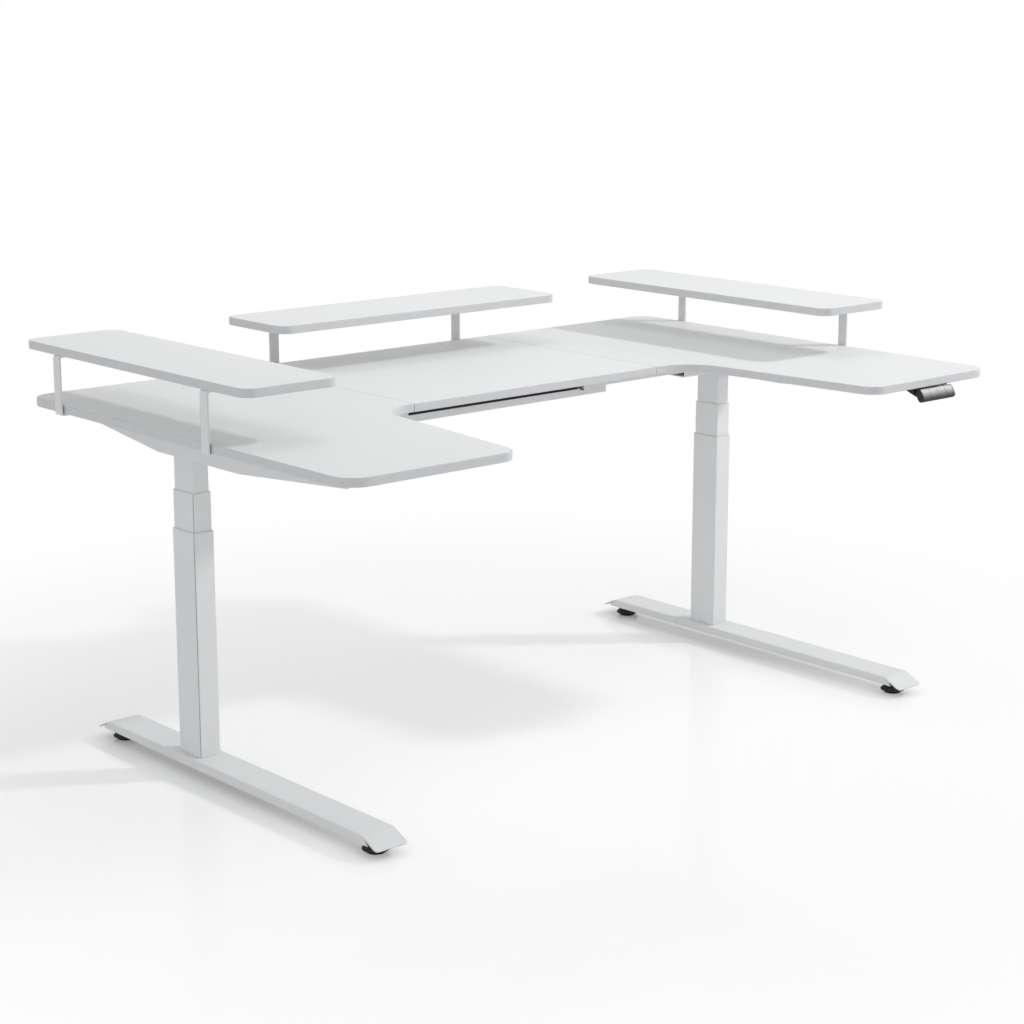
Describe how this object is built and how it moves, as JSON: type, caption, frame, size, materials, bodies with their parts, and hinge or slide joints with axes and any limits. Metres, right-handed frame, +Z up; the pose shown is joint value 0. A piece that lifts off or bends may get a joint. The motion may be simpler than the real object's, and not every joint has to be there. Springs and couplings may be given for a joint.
{
  "type": "u-shaped standing desk",
  "caption": "U-shaped electric standing desk: jointed board top, raised shelves on folded bars, telescopic motor-driven legs on long feet, and a button handset under the front edge.",
  "frame": {"origin": "on the floor under the middle of the desk's overall length and depth", "axes": "+X along the desk's width to the user's right, -Y towards the user in the bay, +Z up"},
  "size_m": [1.844, 1.1468, 0.893],
  "materials": {
    "laminated_board": "white melamine-faced particle board with matching edge band, fine satin texture",
    "powder_coat": "white powder coat, fine matte texture",
    "zinc_steel": "zinc-plated steel",
    "nut_brass": "turned brass",
    "nylon": "natural nylon guide collar",
    "drive_black": "black painted gearbox and motor case",
    "black_plastic": "black moulded plastic, fine grain",
    "silver_grey_plastic": "silver-grey painted plastic button"
  },
  "bodies": {
    "base_left": {"foot_left": "powder_coat", "outer_tube_left": "powder_coat", "lift_post_left": "zinc_steel"},
    "mid_left": {"middle_tube_left": "powder_coat", "middle_collar_left": "nylon", "lift_sleeve_left": "zinc_steel", "spindle_nut_left": "nut_brass"},
    "top": {"centre_board": "laminated_board", "left_wing_board": "laminated_board", "right_wing_board": "laminated_board", "shelf_left": "laminated_board", "shelf_back": "laminated_board", "shelf_right": "laminated_board", "seam_plate_left_rear": "zinc_steel", "seam_plate_left_front": "zinc_steel", "seam_plate_right_rear": "zinc_steel", "seam_plate_right_front": "zinc_steel", "shelf_bracket_left_rear": "powder_coat", "shelf_bracket_left_front": "powder_coat", "shelf_bracket_back_left": "powder_coat", "shelf_bracket_back_right": "powder_coat", "shelf_bracket_right_rear": "powder_coat", "shelf_bracket_right_front": "powder_coat", "side_bracket_left": "powder_coat", "side_bracket_right": "powder_coat", "crossbar": "powder_coat", "side_rail_left": "powder_coat", "side_rail_right": "powder_coat", "motor_housing_left": "powder_coat", "motor_housing_right": "powder_coat", "gearbox_left": "drive_black", "gearbox_right": "drive_black", "motor_left": "drive_black", "motor_right": "drive_black", "inner_tube_left": "powder_coat", "inner_tube_right": "powder_coat", "inner_collar_left": "nylon", "inner_collar_right": "nylon", "spindle_left": "zinc_steel", "spindle_right": "zinc_steel", "control_box": "black_plastic", "control_box_cap": "black_plastic", "box_clip": "black_plastic", "handset_mount": "black_plastic", "handset_body": "black_plastic"},
    "mid_right": {"middle_tube_right": "powder_coat", "middle_collar_right": "nylon", "lift_sleeve_right": "zinc_steel", "spindle_nut_right": "nut_brass"},
    "base_right": {"foot_right": "powder_coat", "outer_tube_right": "powder_coat", "lift_post_right": "zinc_steel"},
    "pad_left_rear": {"levelling_pad_left_rear": "black_plastic"},
    "pad_left_front": {"levelling_pad_left_front": "black_plastic"},
    "pad_right_rear": {"levelling_pad_right_rear": "black_plastic"},
    "pad_right_front": {"levelling_pad_right_front": "black_plastic"},
    "button_1": {"handset_button_1": "silver_grey_plastic"},
    "button_2": {"handset_button_2": "silver_grey_plastic"},
    "button_3": {"handset_button_3": "silver_grey_plastic"},
    "button_4": {"handset_button_4": "silver_grey_plastic"}
  },
  "joints": [
    {"name": "left_lower_stage", "type": "slide", "parent": "base_left", "child": "mid_left", "axis": [0, 0, 1], "range_m": [-0.068, 0.255]},
    {"name": "left_upper_stage", "type": "slide", "parent": "mid_left", "child": "top", "axis": [0, 0, 1], "range_m": [-0.068, 0.255]},
    {"name": "right_upper_stage", "type": "slide", "parent": "top", "child": "mid_right", "axis": [0, 0, -1], "range_m": [-0.068, 0.255]},
    {"name": "right_lower_stage", "type": "slide", "parent": "mid_right", "child": "base_right", "axis": [0, 0, -1], "range_m": [-0.068, 0.255]},
    {"name": "pad_left_rear_height", "type": "slide", "parent": "base_left", "child": "pad_left_rear", "axis": [0, 0, -1], "range_m": [0, 0.01]},
    {"name": "pad_left_front_height", "type": "slide", "parent": "base_left", "child": "pad_left_front", "axis": [0, 0, -1], "range_m": [0, 0.01]},
    {"name": "pad_right_rear_height", "type": "slide", "parent": "base_right", "child": "pad_right_rear", "axis": [0, 0, -1], "range_m": [0, 0.01]},
    {"name": "pad_right_front_height", "type": "slide", "parent": "base_right", "child": "pad_right_front", "axis": [0, 0, -1], "range_m": [0, 0.01]},
    {"name": "button_1_press", "type": "slide", "parent": "top", "child": "button_1", "axis": [0, 0.848, -0.5299], "range_m": [0, 0.001], "stiffness_N_per_m": 2500},
    {"name": "button_2_press", "type": "slide", "parent": "top", "child": "button_2", "axis": [0, 0.848, -0.5299], "range_m": [0, 0.001], "stiffness_N_per_m": 2500},
    {"name": "button_3_press", "type": "slide", "parent": "top", "child": "button_3", "axis": [0, 0.848, -0.5299], "range_m": [0, 0.001], "stiffness_N_per_m": 2500},
    {"name": "button_4_press", "type": "slide", "parent": "top", "child": "button_4", "axis": [0, 0.848, -0.5299], "range_m": [0, 0.001], "stiffness_N_per_m": 2500}
  ],
  "couplings": [
    {"joint": "left_upper_stage", "follows": "left_lower_stage", "ratio": 1},
    {"joint": "right_upper_stage", "follows": "left_lower_stage", "ratio": 1},
    {"joint": "right_lower_stage", "follows": "left_lower_stage", "ratio": 1}
  ]
}
